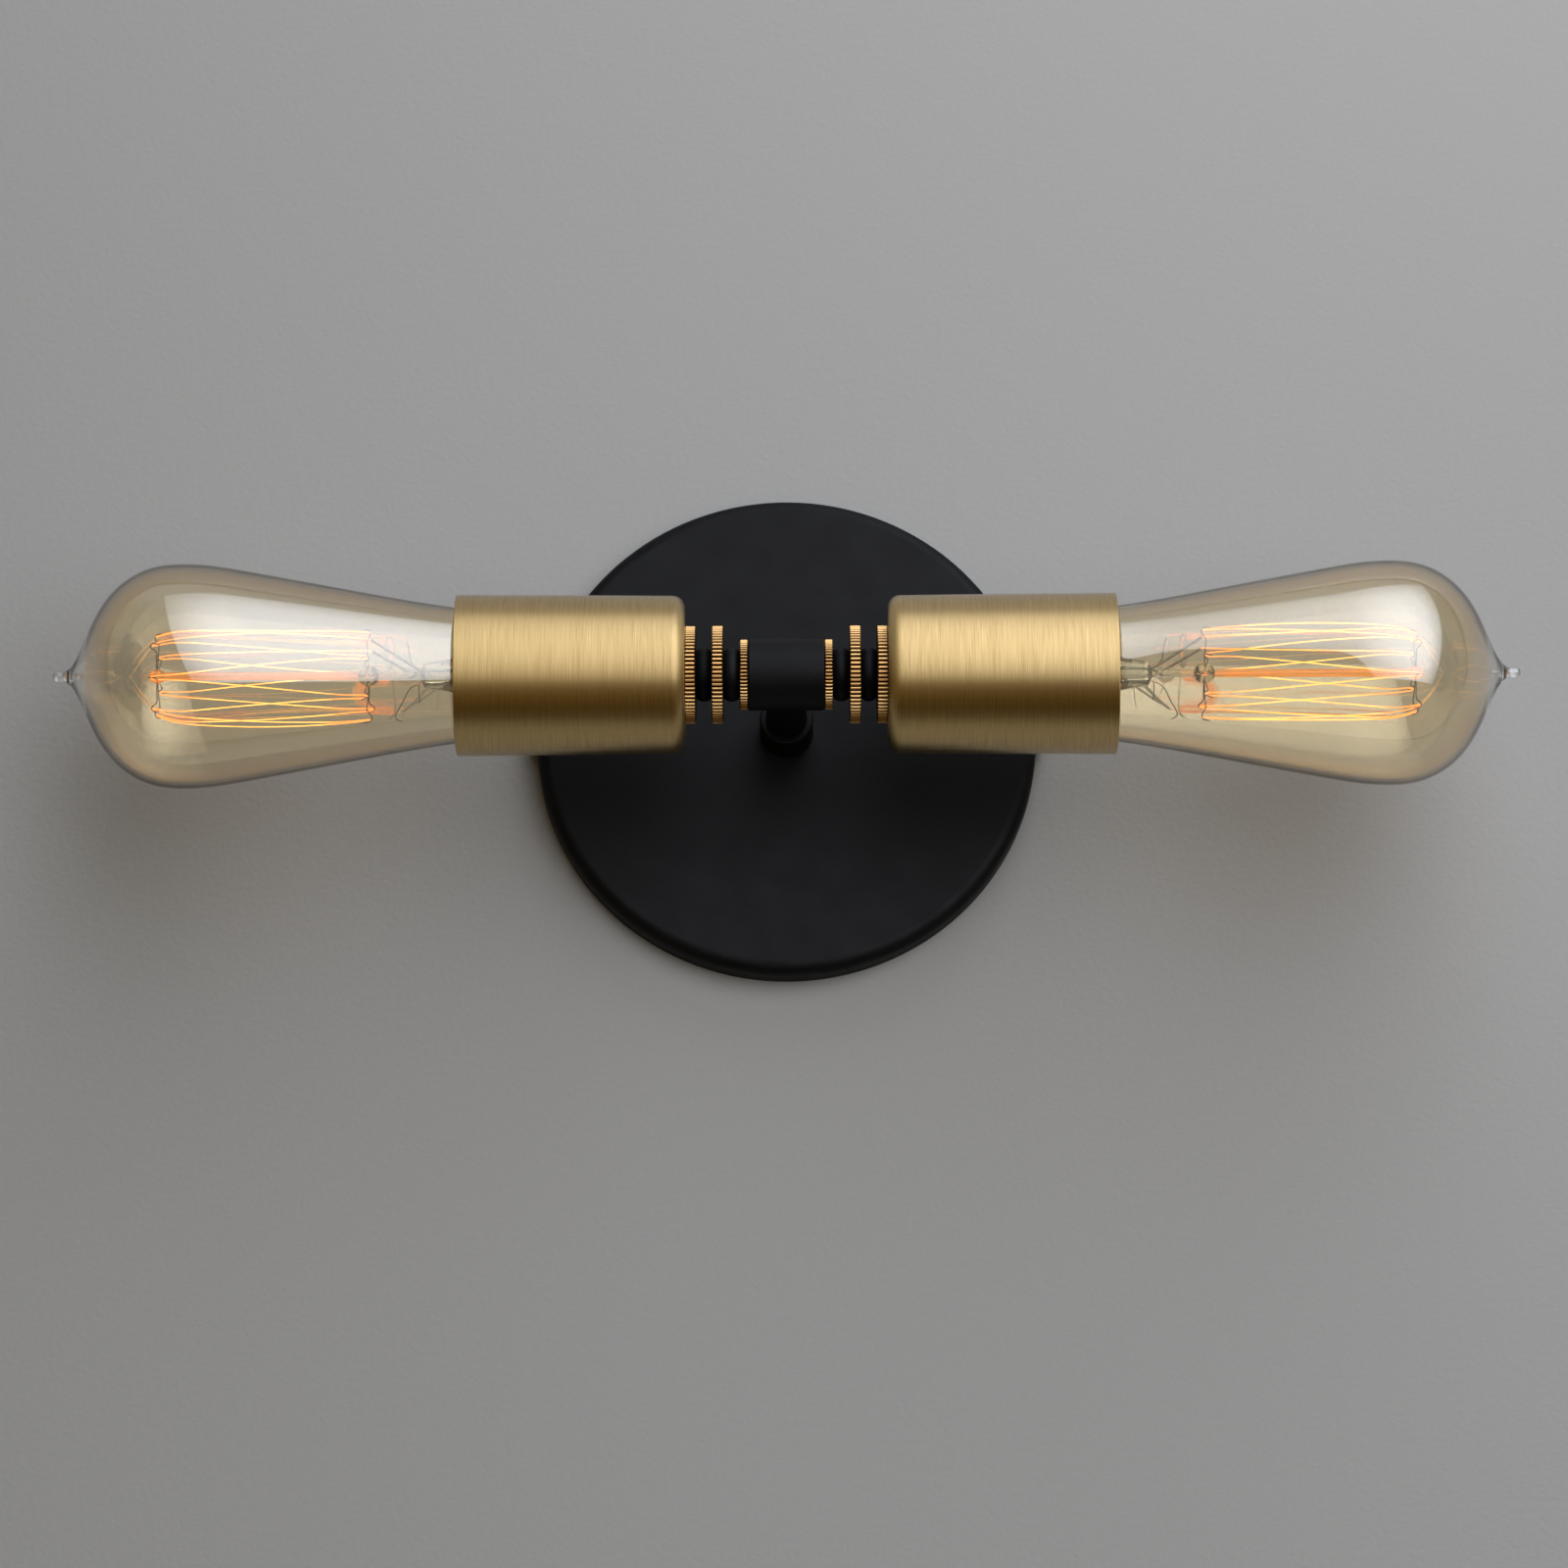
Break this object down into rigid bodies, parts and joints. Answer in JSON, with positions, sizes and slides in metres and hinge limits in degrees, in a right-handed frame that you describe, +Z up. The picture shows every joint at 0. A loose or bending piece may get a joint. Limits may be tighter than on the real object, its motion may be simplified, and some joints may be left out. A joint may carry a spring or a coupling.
{
  "type": "vanity light",
  "caption": "Wall light with a round black wall plate, a short stem and tee, and knurled brass rings and open brass cups each holding a long pear-shaped filament bulb.",
  "frame": {"origin": "middle of the round wall plate, on the wall", "axes": "+X along the arm to the viewer's right, +Y into the wall, +Z up"},
  "size_m": [0.3612, 0.0805, 0.127],
  "materials": {
    "black_powder_coat": "matt black powder coat",
    "brushed_brass": "brass, brushed round its axis, satin lacquer",
    "knurled_brass": "brass, straight knurl",
    "zinc_plated_steel": "zinc plated steel",
    "green_screw": "steel screw, passivated green",
    "bare_copper": "bare copper",
    "black_wire": "black insulation",
    "white_wire": "white insulation",
    "white_ceramic": "glazed white ceramic",
    "plain_brass": "drawn brass sheet",
    "amber_glass": "thin amber tinted glass",
    "clear_glass": "clear glass",
    "glowing_tungsten": "tungsten coil, lit, warm orange white",
    "support_wire": "molybdenum wire",
    "nickel_wire": "nickel wire",
    "nickel_cap": "nickel plated brass cap",
    "black_glass": "black glass insulator",
    "solder": "soldered contact"
  },
  "bodies": {
    "fixture": {"bare_wire_ends": "bare_copper", "canopy": "black_powder_coat", "canopy_side_screws": "black_powder_coat", "crossbar": "zinc_plated_steel", "ground_screw": "green_screw", "ground_wire": "bare_copper", "left_arm_pipe": "zinc_plated_steel", "left_cup": "brushed_brass", "left_cup_ring": "knurled_brass", "left_inner_spacer": "black_powder_coat", "left_line_wire": "black_wire", "left_middle_ring": "knurled_brass", "left_neutral_wire": "white_wire", "left_outer_spacer": "black_powder_coat", "left_socket_body": "white_ceramic", "left_socket_bracket": "zinc_plated_steel", "left_socket_contact": "plain_brass", "left_socket_shell": "plain_brass", "left_tee_ring": "knurled_brass", "pipe_lock_nuts": "zinc_plated_steel", "right_arm_pipe": "zinc_plated_steel", "right_cup": "brushed_brass", "right_cup_ring": "knurled_brass", "right_inner_spacer": "black_powder_coat", "right_line_wire": "black_wire", "right_middle_ring": "knurled_brass", "right_neutral_wire": "white_wire", "right_outer_spacer": "black_powder_coat", "right_socket_body": "white_ceramic", "right_socket_bracket": "zinc_plated_steel", "right_socket_contact": "plain_brass", "right_socket_shell": "plain_brass", "right_tee_ring": "knurled_brass", "socket_bracket_screws": "zinc_plated_steel", "socket_terminal_plates": "plain_brass", "socket_terminal_screws": "plain_brass", "stem": "black_powder_coat", "stem_collar": "black_powder_coat", "stem_lock_washer": "zinc_plated_steel", "tee": "black_powder_coat"},
    "left_bulb_contact_carrier": {"left_bulb_contact": "solder"},
    "left_bulb": {"left_bulb_glass": "amber_glass", "left_bulb_mount": "clear_glass", "left_bulb_filament": "glowing_tungsten", "left_bulb_supports": "support_wire", "left_bulb_lead_wires": "nickel_wire", "left_bulb_cap": "nickel_cap", "left_bulb_insulator": "black_glass"},
    "right_bulb_contact_carrier": {"right_bulb_contact": "solder"},
    "right_bulb": {"right_bulb_glass": "amber_glass", "right_bulb_mount": "clear_glass", "right_bulb_filament": "glowing_tungsten", "right_bulb_supports": "support_wire", "right_bulb_lead_wires": "nickel_wire", "right_bulb_cap": "nickel_cap", "right_bulb_insulator": "black_glass"}
  },
  "joints": [
    {"name": "left_bulb_travel", "type": "slide", "parent": "fixture", "child": "left_bulb_contact_carrier", "axis": [-1, 0, 0], "range_m": [0, 0.01633]},
    {"name": "left_bulb_turn", "type": "hinge", "parent": "left_bulb_contact_carrier", "child": "left_bulb", "pos_m": [-0.0428, -0.0526, 0], "axis": [-1, 0, 0], "range_deg": [0, 1620]},
    {"name": "right_bulb_travel", "type": "slide", "parent": "fixture", "child": "right_bulb_contact_carrier", "axis": [1, 0, 0], "range_m": [0, 0.01633]},
    {"name": "right_bulb_turn", "type": "hinge", "parent": "right_bulb_contact_carrier", "child": "right_bulb", "pos_m": [0.0428, -0.0526, 0], "axis": [1, 0, 0], "range_deg": [0, 1620]}
  ],
  "couplings": [
    {"joint": "left_bulb_turn", "follows": "left_bulb_travel", "rad_per_m": 1731.4},
    {"joint": "right_bulb_turn", "follows": "right_bulb_travel", "rad_per_m": 1731.4}
  ]
}
